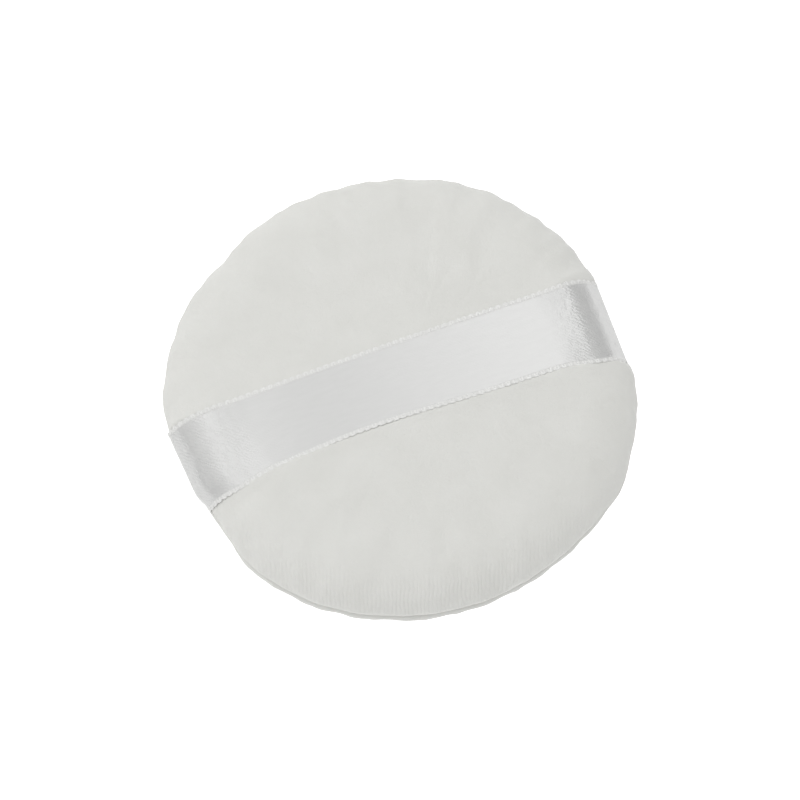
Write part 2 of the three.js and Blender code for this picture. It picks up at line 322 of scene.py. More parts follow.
def new_object(name, vertices, faces):
    """A smooth mesh object at the origin, its faces turned outwards, from vertices and from lists of faces
    with as many corners each."""
    mesh = bpy.data.meshes.new(name)
    faces = [part[:, ::-1] for part in faces] if enclosed(vertices, faces) < 0 else faces
    corners = np.concatenate([part.ravel() for part in faces])
    sizes = np.concatenate([np.full(len(part), part.shape[1]) for part in faces])
    starts = np.concatenate([[0], np.cumsum(sizes)[:-1]])
    mesh.vertices.add(len(vertices))
    mesh.vertices.foreach_set("co", vertices.astype(np.float32).ravel())
    mesh.loops.add(len(corners))
    mesh.loops.foreach_set("vertex_index", corners.astype(np.int32))
    mesh.polygons.add(len(sizes))
    mesh.polygons.foreach_set("loop_start", starts.astype(np.int32))
    mesh.update(calc_edges=True)
    mesh.polygons.foreach_set("use_smooth", np.ones(len(sizes), bool))
    mesh.validate()
    made = bpy.data.objects.new(name, mesh)
    bpy.context.scene.collection.objects.link(made)
    return made


def quads(rows, columns):
    """Corners of the quads of a grid of rows, each a ring of columns closed on itself."""
    index = np.arange(rows * columns).reshape(rows, columns)
    here, below = index[:-1], index[1:]
    ring = [here, below, np.roll(below, -1, axis=1), np.roll(here, -1, axis=1)]
    return np.stack(ring, axis=-1).reshape(-1, 4)


def turned_object(name, rings, first_pole, last_pole):
    """A closed surface from rings of points round the pad's axis, with a pole before and after them."""
    rows, columns = rings.shape[:2]
    vertices = np.concatenate([rings.reshape(-1, 3), [first_pole, last_pole]])
    here = np.arange(columns)
    after = np.roll(here, -1)
    last = (rows - 1) * columns
    first_fan = np.stack([np.full(columns, rows * columns), here, after], axis=-1)
    last_fan = np.stack([np.full(columns, rows * columns + 1), last + after, last + here], axis=-1)
    return new_object(name, vertices, [quads(rows, columns), first_fan, last_fan])


def tube_object(name, rings):
    """A closed tube from rings of points along a line, with a flat face at each end."""
    rows, columns = rings.shape[:2]
    first = np.arange(columns)[None, ::-1]
    last = np.arange((rows - 1) * columns, rows * columns)[None, :]
    return new_object(name, rings.reshape(-1, 3), [quads(rows, columns), first, last])


def root(function, low, high):
    """Where a function that rises through zero between low and high does so, by halving."""
    for _ in range(HALVINGS):
        middle = (low + high) / 2
        low, high = (middle, high) if function(middle) < 0 else (low, middle)
    return low


def bowed(x, aside):
    """How far a place of the ribbon is drawn in across it: all of its length but the ends, with a bell on
    top, and from its middle to beside its front border."""
    bell = BOW * np.exp(-(((x - BOW_MIDDLE) / BOW_SPREAD) ** 2))
    depth = NARROWED * (1 - smooth(*NARROWED_TO, np.abs(x))) + bell
    return depth * np.clip(-aside / (RIBBON_WIDTH / 2 - BORDER_WIDTH), 0, 1)


def past_edges(points):
    """How far points lie outside the ribbon's back edge and outside its front edge, negative inside."""
    aside = points[..., 1] - STRAP_ASIDE
    bow = bowed(points[..., 0], -RIBBON_WIDTH / 2)
    return aside - RIBBON_WIDTH / 2, bow - aside - RIBBON_WIDTH / 2


def by_strap(points, slope):
    """1 under the strap's width, falling smoothly to 0 over a slope beside it."""
    return 1 - smooth(-PILE_UNDER_EDGE, slope, np.maximum(*past_edges(points)))


def by_side(points, values):
    """The right end's value where x is positive, and the left end's elsewhere."""
    return np.where(points[..., 0] > 0, values[1], values[-1])


def in_plan(points, drawn=0):
    """The points with the rim pulled in: straight at the strap's two ends, a little where the sewn edge
    runs flat, and, as far as the strap draws them along (0 to 1), further in within its width."""
    radius = np.maximum(np.hypot(points[..., 0], points[..., 1]), LEAST_RADIUS)
    straight = RIM * ((1 - DRAW_IN / RIM) ** -DRAW_IN_SHARPNESS - 1) ** (-1 / DRAW_IN_SHARPNESS)
    past = RIM * np.abs(points[..., 0]) / radius / straight
    pull = RIM * (1 - (1 + past**DRAW_IN_SHARPNESS) ** (-1 / DRAW_IN_SHARPNESS))
    angle = np.arctan2(points[..., 1], points[..., 0])
    for middle, depth, spread in EDGE_FLATS:
        away = np.degrees(np.angle(np.exp(1j * (angle - math.radians(middle)))))
        pull = pull + depth * MM * np.exp(-0.5 * (away / spread) ** 2)
    pull = pull + drawn * by_strap(points, PULL_SLOPE) * by_side(points, PULL)
    kept = 1 - pull * np.minimum(1, radius / RIM) ** DRAW_IN_FADE / radius
    moved = points.copy()
    moved[..., 0] *= kept
    moved[..., 1] *= kept
    return moved


def twisted(points):
    """The points with the strap's ends twisted, front edge down and back edge up, which fades beside the
    strap, towards its middle and down the face."""
    half_width = RIBBON_WIDTH / 2
    aside = points[..., 1] - STRAP_ASIDE
    share = 1 - smooth(half_width, half_width + TWIST_FADE, np.abs(aside))
    share = share * smooth(*TWIST_START, np.abs(points[..., 0]))
    share = share * smooth(SEAM - TWIST_DEPTH, SEAM, points[..., 2])
    moved = points.copy()
    moved[..., 2] += by_side(points, TWIST) * np.clip(aside, -half_width, half_width) * share
    return moved


def sewn_edge(side):
    """Where the fold's centre and the allowance's edge lie, each as (radius, height above the seam): beside
    the strap if side is 0, or where its right end (1) or left end (-1) pulls them."""
    places = np.array([[RIM - COVER, 0, SEAM_GAP / 2 + COVER], [ALLOWANCE_EDGE, 0, SEAM_GAP / 2]])
    if side == 0:
        return places[:, [0, 2]]
    pulled = in_plan(places * (side, 1, 1) + (0, STRAP_ASIDE, SEAM), 1)
    return pulled[:, [0, 2]] * (side, 1) - (0, SEAM)


class Half:
    """One half of the pad in section: a crown arc tangent to a flat middle and to an elliptic shoulder,
    folded in at the seam. The shoulder's points are (centre + wide sin t, tall cos t), from t = rim_start
    to rim_end, where it reaches the fold, or where it leans as far as a taut strap does and runs straight
    from there to the fold."""

    def __init__(self, height, shoulder, flat, up, side=0, taut=math.pi / 2):
        self.height, self.flat, self.up, self.taut = height, flat, up, taut
        self.wide, self.tall = shoulder
        (self.fold_radius, self.fold_height), self.edge = sewn_edge(side)
        at_fold = root(self.fold_miss, 0, math.pi / 2)
        self.rim_end = min(at_fold, math.atan(math.tan(taut) * self.wide / self.tall))
        lean = self.lean(self.rim_end)
        self.straight = max(0, -self.fold_miss(self.rim_end) / math.sin(lean))
        reach = self.wide * math.sin(self.rim_end) + self.straight * math.cos(lean)
        self.rim_centre = self.fold_radius + COVER * math.sin(lean) - reach
        self.rim_start = root(self.crown_miss, LEAST_ANGLE, self.rim_end)
        self.crown_end = self.lean(self.rim_start)
        self.crown = self.crown_radius(self.rim_start)
        self.crown_reach = self.crown * math.sin(self.crown_end)

    def lean(self, t):
        """Angle of the shoulder's outward normal from upright."""
        return np.arctan2(np.sin(t) / self.wide, np.cos(t) / self.tall)

    def fold_miss(self, t):
        """How far the fold's centre lies above a cover's thickness inside the shoulder."""
        return self.fold_height + COVER * math.cos(self.lean(t)) - self.tall * math.cos(t)

    def crown_radius(self, t):
        """Radius of the arc from the top that is level with the shoulder, and leans as it does, at t."""
        return (self.height - self.tall * math.cos(t)) / (1 - math.cos(self.lean(t)))

    def crown_miss(self, t):
        """How far that arc ends short of the shoulder."""
        reach = self.flat + self.crown_radius(t) * math.sin(self.lean(t))
        return self.rim_centre + self.wide * math.sin(t) - reach

    def crown_fall(self, radius):
        """How far the crown falls from the top out to a radius."""
        return self.crown - np.sqrt(self.crown**2 - np.minimum(radius, self.crown_reach) ** 2)

    def crown_points(self, outside, angles):
        """Points of the crown's arc at angles from upright, at a distance outside."""
        radius = self.crown + outside
        height = self.height - self.crown + radius * np.cos(angles)
        return np.stack([self.flat + radius * np.sin(angles), height], -1)

    def rim_points(self, outside, angles):
        """Points of the shoulder's ellipse at values of t, at a distance outside."""
        lean = self.lean(angles)
        radius = self.rim_centre + self.wide * np.sin(angles) + outside * np.sin(lean)
        return np.stack([radius, self.tall * np.cos(angles) + outside * np.cos(lean)], -1)

    def shoulder_points(self, outside, steps):
        """Points round the shoulder and down its straight run, after its first point."""
        turned = steps if self.taut >= math.pi / 2 else round(steps * SHOULDER_SHARE)
        bend = self.rim_points(outside, np.linspace(self.rim_start, self.rim_end, turned + 1)[1:])
        lean = self.lean(self.rim_end)
        distance = np.linspace(0, self.straight, steps - turned + 1)[1:, None]
        return np.concatenate([bend, bend[-1] + distance * (math.cos(lean), -math.sin(lean))])

    def fold_points(self, outside, angles):
        """Points round the fold at angles from upright, at a distance outside."""
        radius = COVER + outside
        height = self.fold_height + radius * np.cos(angles)
        return np.stack([self.fold_radius + radius * np.sin(angles), height], -1)

    def skin(self, outside, flat_steps, crown_shares, rim_steps):
        """Points (radius, height above the seam) from near the axis to the fold, at a distance outside."""
        flat = np.linspace(0, self.flat, flat_steps + 1)[1:-1] if self.flat > 0 else np.zeros(0)
        return np.concatenate([
            np.stack([flat, np.full_like(flat, self.height + outside)], -1),
            self.crown_points(outside, crown_shares * self.crown_end),
            self.shoulder_points(outside, rim_steps),
        ])

    def fold(self, outside, last, steps):
        """Points round the fold, from the shoulder's end to a last angle from upright."""
        return self.fold_points(outside, np.linspace(self.lean(self.rim_end), last, steps + 1)[1:])


BACK = Half(BACK_HEIGHT, BACK_SHOULDER, 0, 1)
FACE = Half(FACE_HEIGHT, FACE_SHOULDER, REST_RADIUS, -1)
SEATS = {side: Half(BACK_HEIGHT, SEAT_SHOULDER[side], 0, 1, side, TAUT_LEAN[side]) for side in (1, -1)}
TURN_ANGLES = np.linspace(0, 2 * math.pi, TURN_STEPS, endpoint=False)
TURN_ANGLES -= TURN_CROWDING / 2 * np.sin(2 * TURN_ANGLES)


def outward(section):
    """Unit normals (radial, up) on the outside of a section that runs from the axis out over a half and in
    at the seam."""
    tangent = np.gradient(section, axis=0)
    normal = np.stack([-tangent[:, 1], tangent[:, 0]], -1)
    return normal / np.linalg.norm(normal, axis=1, keepdims=True)


def cover_section(half):
    """A cover in section: outer skin, fold, allowance and inner skin, and how many rows are outside."""
    shares = CROWN_SHARES[half.up]
    outer = np.concatenate([half.skin(0, FLAT_ROWS, shares, RIM_ROWS), half.fold(0, math.pi, FOLD_ROWS)])
    allowance = np.array([half.edge, [half.edge[0], half.fold_height]])
    inner = half.skin(-COVER, INNER_FLAT_ROWS, shares[::INNER_CROWN_STRIDE], INNER_RIM_ROWS)[::-1]
    return np.concatenate([outer, allowance, inner]), len(outer)


def turn(section, up, angles):
    """Rings of points round the axis, at some angles, for a section of (radius, height above the seam)."""
    radius = section[:, :1]
    height = np.broadcast_to(SEAM + up * section[:, 1:], (len(section), len(angles)))
    return np.stack([radius * np.cos(angles), radius * np.sin(angles), height], -1)


def under_strap(section, side):
    """A seat's section under the strap, pressed into the pile, as (x, z)."""
    pressed = section - outward(section) * PRESS
    return pressed * (side, 1) + (0, SEAM)


def aslant(x, across, side):
    """A place along the strap moved as that end is sewn aslant and its front corner tucked in, by the
    distance across from the strap's middle."""
    tuck = TUCK[side] * smooth(RIBBON_WIDTH / 2 - TUCK_WIDTH, RIBBON_WIDTH / 2, -across)
    return x + (SLANT[side] * across - side * tuck) * np.minimum(1, np.abs(x) / RIM) ** DRAW_IN_FADE


def seat_strap(rings, section):
    """The back with a straight seat for the strap: within its width the crown is level from side to side,
    and each row that goes round the rim follows the strap's own section, with a wider slope beside it near
    the seam. Beside its front edge the pile stands up as a narrow bell, and bulges more widely towards the
    strap's ends."""
    seated = rings.copy()
    x, across = rings[..., 0], rings[..., 1]
    near = by_strap(rings, PILE_SLOPE)
    slope = PULL_SLOPE + (PILE_SLOPE - PULL_SLOPE) * smooth(*PULL_HEIGHTS, section[:, 1:])
    share = by_strap(rings, slope) * smooth(*SEAT_BLEND, np.abs(x))
    beside = BACK.crown_fall(np.hypot(x, across))
    past_front = past_edges(rings)[1] - RIDGE_PLACE
    away = np.maximum(past_front, -RIDGE_STEEPNESS * past_front)
    seated[..., 2] += RIDGE * np.exp(-((away / RIDGE_SPREAD) ** 2)) * (section[:, 1:] > 0)
    bulge = (1 - near) * (1 - smooth(0, BULGE_SPREAD, past_front)) * (past_front > -RIBBON_WIDTH / 2)
    bulge = by_side(rings, BULGE) * bulge * smooth(*BULGE_START, np.abs(x))
    seated[..., 2] += bulge * (section[:, 1:] > 0)
    for side, seat in SEATS.items():
        chosen = side * x > 0
        seated[..., 2] += chosen * near * (beside - seat.crown_fall(np.abs(x)) - PRESS)
        line = under_strap(cover_section(seat)[0], side)
        sewn = aslant(line[:, :1], across - STRAP_ASIDE, side)
        seated[..., 0] += chosen * share * (sewn - seated[..., 0])
        seated[..., 2] += chosen * share * (line[:, 1:] - seated[..., 2])
    return seated


def seat_ends(rings, section):
    """The face with its fold and allowance a little lower under the strap's ends, which lie on them."""
    seated = rings.copy()
    near = by_strap(rings, PULL_SLOPE) * (np.abs(rings[..., 0]) > SEAT_BLEND[1])
    seated[..., 2] -= END_ROOM * near * (1 - smooth(0, FACE.fold_height, section[:, 1:]))
    return seated


def swell_rows(half):
    """A half's skin in a few rows, from a small ring round the axis out to beside the seam."""
    start = 0 if half.flat > 0 else SWELL_START / half.crown
    crown = half.crown_points(0, np.linspace(start, half.crown_end, SWELL_CROWN_ROWS))
    rim = half.rim_points(0, np.linspace(half.rim_start, half.rim_end, SWELL_RIM_ROWS)[1:])
    return np.concatenate([crown, rim, half.fold(0, math.pi / 2, SWELL_FOLD_ROWS)])


def swelling():
    """How far out each row of the two halves' skins moves where the filling swells it, by cloth simulation.

    One closed skin of both halves, in a few rows and columns and at SWELL_SCALE times its size, is cloth
    with a little to spare. The seam and the resting spot are pinned and pressure pushes the rest out, so it
    gathers beside the seam. Each row's mean is taken off, so that the sewn section stays, and the pile
    hides most of the rest. A half's result is (distance of its rows from the axis along the skin, moves).
    """
    back, face = swell_rows(BACK), swell_rows(FACE)
    seam = np.array([[RIM - COVER / 2, 0]])
    section = np.concatenate([back, seam, (face * (1, -1))[::-1]])
    angles = np.linspace(0, 2 * math.pi, SWELL_COLUMNS, endpoint=False)
    rings = turn(section, 1, angles) - (0, 0, SEAM)
    uneven = SWELL_UNEVEN * waves(rings, SWELL_UNEVEN_LENGTH, 11)
    rings[..., :2] *= 1 + (uneven / RIM)[..., None]
    large = rings * SWELL_SCALE
    skin = turned_object("skin", large, large[0].mean(0), large[-1].mean(0))
    pins = skin.vertex_groups.new(name="pins")
    pinned_rows = np.array([[len(back)], [len(section) - 1]])
    pinned = (pinned_rows * SWELL_COLUMNS + np.arange(SWELL_COLUMNS)).ravel()
    last_pole = rings[..., 0].size + 1
    pins.add([int(k) for k in pinned] + [last_pole], 1.0, "REPLACE")
    cloth = skin.modifiers.new("cloth", "CLOTH")
    cloth.settings.vertex_group_mass = "pins"
    cloth.settings.effector_weights.gravity = 0
    cloth.settings.use_pressure = True
    cloth.settings.uniform_pressure_force = SWELL_PRESSURE
    cloth.settings.shrink_min = -SWELL_SPARE_CLOTH
    cloth.collision_settings.use_collision = False
    cloth.point_cache.frame_end = SWELL_FRAMES
    scene = bpy.context.scene
    for moment in range(1, SWELL_FRAMES + 1):
        scene.frame_set(moment)
    swollen = skin.evaluated_get(bpy.context.evaluated_depsgraph_get()).data
    places = np.zeros(len(swollen.vertices) * 3, np.float32)
    swollen.vertices.foreach_get("co", places)
    moved = places.reshape(-1, 3)[:-2].reshape(rings.shape) / SWELL_SCALE - rings
    scene.frame_set(1)
    bpy.data.objects.remove(skin)
    normal = outward(section)
    radial = moved[..., 0] * np.cos(angles) + moved[..., 1] * np.sin(angles)
    out = radial * normal[:, :1] + moved[..., 2] * normal[:, 1:]
    out -= out.mean(1, keepdims=True)
    out = SWELL_SHOWN * SWELL_CAP * np.tanh(out / SWELL_CAP)
    back_swell = (arc_length(back) + back[0, 0], out[: len(back)])
    face_swell = (arc_length(face) + face[0, 0], out[: len(back) : -1])
    return back_swell, face_swell


def swell_at(section, swell):
    """The swelling at each row of a section and each of TURN_STEPS columns, on cubics through the moves."""
    if swell is None:
        return np.zeros((len(section), TURN_STEPS))
    lengths, moves = swell
    rows = np.interp(arc_length(section) + section[0, 0], lengths, np.arange(len(lengths)))
    columns = TURN_ANGLES / (2 * math.pi) * SWELL_COLUMNS
    return spline(spline(moves, rows, "clip").T, columns, "wrap").T


def cover(name, half, swell):
    """One velour cover as a closed shell, its outside swollen and uneven, its rim drawn in by the strap."""
    section, outside_rows = cover_section(half)
    normal = outward(section)
    rings = turn(section, half.up, TURN_ANGLES)
    radius = section[:, 0]
    shown = (np.arange(len(section)) < outside_rows) * smooth(SEAM_GAP, LUMP_FULL_HEIGHT, section[:, 1])
    rest = smooth(half.flat, half.flat + REST_FADE, radius) if half.flat > 0 else np.ones(len(section))
    lumps = swell_at(section, swell) + LUMP_HEIGHT * waves(rings, LUMP_LENGTH, 5)
    lumps *= (shown * rest)[:, None]
    rings[..., 0] += lumps * normal[:, :1] * np.cos(TURN_ANGLES)
    rings[..., 1] += lumps * normal[:, :1] * np.sin(TURN_ANGLES)
    rings[..., 2] += lumps * half.up * normal[:, 1:]
    if half is BACK:
        rings = twisted(seat_strap(in_plan(rings), section))
    else:
        rings = twisted(seat_ends(in_plan(rings, 1), section))
    top, inside = SEAM + half.up * half.height, SEAM + half.up * (half.height - COVER)
    made = turned_object(name, rings, (0, 0, top), (0, 0, inside))
    facing = np.cos(TURN_ANGLES - VIEW_AZIMUTH + math.pi / 2)
    stretch = (smooth(*STRETCH_RADII, radius) * shown)[:, None] * smooth(*STRETCH_FACING, facing)
    attribute = made.data.attributes.new("stretch", "FLOAT", "POINT")
    attribute.data.foreach_set("value", np.concatenate([stretch.ravel(), [0, 0]]).astype(np.float32))
    return made


def strap_line(side):
    """The ribbon's middle line, as (distance from the pad's middle, height), from there to its right end,
    or its left if side is -1: over the crown, round the shoulder, into the seam."""
    half = SEATS[side]
    section = np.concatenate([
        half.crown_points(0, np.linspace(0, half.crown_end, CROWN_POINTS)),
        half.shoulder_points(0, SHOULDER_POINTS),
        half.fold(0, math.pi, FOLD_POINTS),
    ])
    seat = under_strap(section, side) * (side, 1)
    along = np.gradient(seat, axis=0)
    up = np.stack([-along[:, 1], along[:, 0]], -1)
    line = seat + RIBBON_OFFSET * up / np.linalg.norm(up, axis=1, keepdims=True)
    inner = half.edge + (0, SEAM - RIBBON_OFFSET)
    tail = line[-1] + np.linspace(0, 1, TAIL_POINTS)[1:, None] * (inner - line[-1])
    return np.concatenate([line, tail])


def ribbon_section():
    """The ribbon across its width as a closed loop of (across, side), with side 1 on top and -1 beneath."""
    border = np.linspace(0, BORDER_WIDTH, BORDER_POINTS)[:-1]
    middle = np.linspace(BORDER_WIDTH, RIBBON_WIDTH - BORDER_WIDTH, MIDDLE_POINTS)
    across = np.concatenate([border, middle, RIBBON_WIDTH - border[::-1]]) - RIBBON_WIDTH / 2
    top = np.stack([across, np.ones(len(across))], -1)
    return np.concatenate([top, top[::-1] * (1, -1)])


def weft_loops(along, inward):
    """How the weft turns back at the ribbon's edge, as (height from 0 to 1, how far the edge falls back).

    Each turn is a U of round cord: two strokes from a half circle at the edge. A cord's height falls as a
    half circle away from its middle line, some cords are pulled flatter than others, and between the turns
    the edge falls back a little.
    """
    uneven = along + sum(height * np.sin(along / length) for height, length in LOOP_WANDER)
    aside = np.abs((uneven / LOOP_PITCH + 0.5) % 1 - 0.5) * LOOP_PITCH
    bend_start = LOOP_RADIUS + LOOP_CORD
    bend = np.hypot(aside, inward - bend_start)
    away = np.abs(np.where(inward < bend_start, bend, aside) - LOOP_RADIUS) / LOOP_CORD
    between = smooth(LOOP_RADIUS, LOOP_PITCH / 2, aside)
    falls = SCALLOP * between * np.clip(1 - inward / (2 * SCALLOP), 0, 1)
    short, long = LOOP_VARIED_LENGTHS
    varied = LOOP_VARIED * np.sin(along / short + 2 * np.sin(along / long))
    fullness = LOOP_FULLNESS + LOOP_FULLER * smooth(0, LOOP_FULLER_AT, along) + varied
    return np.sqrt(np.clip(1 - away**2, 0, 1)) * fullness, falls


def ribbon(name, along):
    """A stretch of the ribbon as a closed band: its section carried along the middle line, with a border of
    weft loops at each edge and a groove beside it."""
    section = ribbon_section()
    across, face = section[:, 0], section[:, 1]
    spot = np.zeros((len(along), 2))
    sewn = np.zeros((len(along), len(across)))
    for side in (1, -1):
        line = strap_line(side)
        chosen = side * along >= 0
        for k, sign in ((0, side), (1, 1)):
            spot[chosen, k] = sign * np.interp(np.abs(along[chosen]), arc_length(line), line[:, k])
        sewn[chosen] = aslant(spot[chosen, :1], across, side)
    heading = np.gradient(spot, axis=0)
    heading /= np.linalg.norm(heading, axis=1, keepdims=True)
    up = np.stack([-heading[:, 1], heading[:, 0]], -1)
    inward = RIBBON_WIDTH / 2 - np.abs(across)
    border = 1 - smooth(*BORDER_FADE, inward)
    groove = np.exp(-(((inward - BORDER_WIDTH) / GROOVE_SPREAD) ** 2))
    rounding = np.sin(math.pi / 2 * np.clip(inward / EDGE_ROUND, 0, 1))
    loops, falls = weft_loops(along[:, None], inward)
    relief = (LOOP_HEIGHT * border * loops - GROOVE * groove) * (face > 0)
    tapered = RIBBON_THICKNESS * EDGE_TAPER * (1 - rounding)
    lift = np.where(face > 0, RIBBON_THICKNESS + relief, tapered) - RIBBON_THICKNESS / 2
    reach = STRAP_ASIDE + across - np.sign(across) * falls + bowed(spot[:, :1], across)
    points = np.stack([sewn + up[:, :1] * lift, reach, spot[:, 1:] + up[:, 1:] * lift], -1)
    made = tube_object(name, twisted(points))
    made.data.set_sharp_from_angle(angle=SHARP_ANGLE)
    uv = made.data.uv_layers.new(name="weave")
    corner = np.zeros(len(made.data.loops), np.int32)
    made.data.loops.foreach_get("vertex_index", corner)
    flat = np.stack(np.broadcast_arrays(across, along[:, None]), -1).reshape(-1, 2)
    uv.data.foreach_set("uv", (flat[corner] / MM).astype(np.float32).ravel())
    # The loops' height, which the satin also uses to paint shade into the border's tone between the loops.
    attribute = made.data.attributes.new("loops", "FLOAT", "POINT")
    attribute.data.foreach_set("value", loops.astype(np.float32).ravel())
    return made


def sponge(name):
    """The sponge: a disc with rounded edges that follows the covers' insides, with cells in its skin."""
    inset = -COVER - SPONGE_GAP
    shoulder = ALLOWANCE_EDGE - SPONGE_GAP - SPONGE_EDGE
    bend = np.linspace(0, math.pi / 2, SPONGE_EDGE_POINTS)[1:]
    halves = []
    for half in (BACK, FACE):
        last = math.asin((shoulder - half.flat) / (half.crown + inset))
        flat = np.linspace(0, half.flat, SPONGE_FLAT_POINTS)[1:-1] if half.flat > 0 else np.zeros(0)
        crown_angles = np.linspace(last * SPONGE_POLE_SHARE, last, SPONGE_CROWN_POINTS[half.up])
        crown = half.crown_points(inset, crown_angles)
        edge = np.stack([SPONGE_EDGE * np.sin(bend), SPONGE_EDGE * (np.cos(bend) - 1)], -1)
        level = np.stack([flat, np.full_like(flat, half.height + inset)], -1)
        halves.append(np.concatenate([level, crown, crown[-1] + edge]))
    section = np.concatenate([halves[0], halves[1][::-1] * (1, -1)])
    normal = outward(section)
    angles = np.linspace(0, 2 * math.pi, SPONGE_COLUMNS, endpoint=False)
    rings = turn(section, 1, angles)
    cells = np.clip(np.abs(waves(rings, SPONGE_CELL, 21)) - SPONGE_WALL, 0, 1) * SPONGE_PIT
    rings[..., 0] -= cells * normal[:, :1] * np.cos(angles)
    rings[..., 1] -= cells * normal[:, :1] * np.sin(angles)
    rings[..., 2] -= cells * normal[:, 1:]
    top, bottom = SEAM + BACK.height + inset, SEAM - FACE.height - inset
    return turned_object(name, twisted(in_plan(rings, 1)), (0, 0, top), (0, 0, bottom))


def stitch_line(corners, radius):
    """A thread's middle line round the axis, by corners of (distance round the seam, height above it).

    The straight runs between the corners are cut into even steps, and each step is averaged with
    THREAD_EASING steps before and after it, which rounds the corners.
    """
    length = arc_length(corners)
    along = np.arange(0, length[-1], THREAD_STEP)
    flat = np.stack([np.interp(along, length, corners[:, k]) for k in (0, 1)], -1)
    ended = np.pad(flat, ((THREAD_EASING, THREAD_EASING), (0, 0)), mode="edge")
    window = np.full(2 * THREAD_EASING + 1, 1 / (2 * THREAD_EASING + 1))
    eased = np.stack([np.convolve(ended[:, k], window, "valid") for k in (0, 1)], -1)
    angle = eased[:, 0] / radius
    line = np.stack([radius * np.cos(angle), radius * np.sin(angle), SEAM + eased[:, 1]], -1)
    return twisted(in_plan(line, 1))


def with_tails(corners):
    """A thread's corners with a short tail before the first and after the last."""
    tail = np.array([2 * THREAD_WIDTH, 0])
    return np.concatenate([[corners[0] - tail], corners, [corners[-1] + tail]])


def lockstitches(side):
    """One of the seam's two threads: it runs on its own side and dips to the seam at each needle hole."""
    run = side * (BACK.fold_height + THREAD_WIDTH / 2)
    loop = side * THREAD_WIDTH / 2
    sewn = 2 * math.pi * STITCH_RADIUS - TURNING_GAP
    count = round(sewn / STITCH_LENGTH)
    start = math.pi / 2 * STITCH_RADIUS + TURNING_GAP / 2
    holes = start + (np.arange(count) + 0.5) * sewn / count
    before, after = holes - STITCH_LOOP / 2, holes + STITCH_LOOP / 2
    distance = np.stack([before, before, after, after], -1).ravel()
    corners = np.stack([distance, np.tile([run, loop, loop, run], count)], -1)
    return stitch_line(with_tails(corners), STITCH_RADIUS)


def running_stitches(holes, radius):
    """One thread that goes through both layers at each hole, from one side to the other and back."""
    run = BACK.fold_height + THREAD_WIDTH / 2
    side = np.where(np.arange(len(holes)) % 2 == 0, run, -run)
    corners = np.stack([np.repeat(holes, 2), np.stack([side, -side], -1).ravel()], -1)
    return stitch_line(with_tails(corners), radius)


def closing_stitches():
    """Running stitches, evenly spread over the opening at the back that the puff was turned through."""
    count = round(TURNING_GAP / STITCH_LENGTH)
    holes = math.pi / 2 * STITCH_RADIUS + ((np.arange(count) + 0.5) / count - 0.5) * TURNING_GAP
    return running_stitches(holes, STITCH_RADIUS)


def tack_stitches(side):
    """Running stitches across one end of the strap, as far aside as the strap is."""
    middle = 0 if side > 0 else math.pi * TACK_RADIUS
    holes = middle + side * STRAP_ASIDE + np.linspace(-0.5, 0.5, TACK_CROSSINGS) * TACK_LENGTH
    return running_stitches(holes, TACK_RADIUS)


def thread(name, line):
    """A two-ply thread: a section with two lobes, which turns as it goes along its middle line."""
    heading = np.gradient(line, axis=0)
    heading /= np.linalg.norm(heading, axis=1, keepdims=True)
    side = np.cross(heading, line * (1, 1, 0))
    side /= np.linalg.norm(side, axis=1, keepdims=True)
    out = np.cross(side, heading)
    around = np.linspace(0, 2 * math.pi, THREAD_SIDES, endpoint=False)
    twist = 2 * math.pi * arc_length(line)[:, None] / THREAD_LAY
    lobes = 1 - THREAD_LOBES + THREAD_LOBES * np.cos(2 * (around - twist))
    radius = THREAD_WIDTH / 2 * lobes[..., None]
    ring = np.cos(around)[:, None] * out[:, None] + np.sin(around)[:, None] * side[:, None]
    return tube_object(name, line[:, None] + radius * ring)


def node(tree, kind, inputs=None, **settings):
    """A shader node of a kind, with its settings, and its inputs set to values or joined to outputs."""
    made = tree.nodes.new("ShaderNode" + kind)
    for key, value in settings.items():
        setattr(made, key, value)
    for key, value in (inputs or {}).items():
        if isinstance(value, bpy.types.NodeSocket):
            tree.links.new(value, made.inputs[key])
        else:
            made.inputs[key].default_value = value
    return made


def new_material(name, **values):
    """A material with its shader's own sockets set, as (material, its node tree, its shader)."""
    material = bpy.data.materials.new(name)
    material.use_nodes = True
    shader = material.node_tree.nodes["Principled BSDF"]
    for key, value in values.items():
        shader.inputs[key.replace("_", " ").title().replace("Ior", "IOR")].default_value = value
    return material, material.node_tree, shader


def noise(tree, place, scale, detail):
    """The value of a noise pattern at a place."""
    inputs = {"Vector": place, "Scale": scale, "Detail": detail}
    return node(tree, "TexNoise", inputs).outputs["Fac"]


def maths(tree, operation, *values):
    """The result of a math node on values or other nodes' outputs."""
    return node(tree, "Math", dict(enumerate(values)), operation=operation).outputs[0]


def ramp(tree, value, low, high):
    """The colour at a value between two stops, each (position, colour)."""
    made = node(tree, "ValToRGB", {"Fac": value})
    for stop, (position, colour) in zip(made.color_ramp.elements, (low, high)):
        stop.position = position
        stop.color = (*colour, 1)
    return made.outputs["Color"]


def add_bump(tree, shader, height, strength, distance):
    """Gives the shader a bumpy surface, by a height and how strongly and deeply it shows."""
    bump = node(tree, "Bump", {"Height": height, "Strength": strength, "Distance": distance})
    tree.links.new(bump.outputs["Normal"], shader.inputs["Normal"])


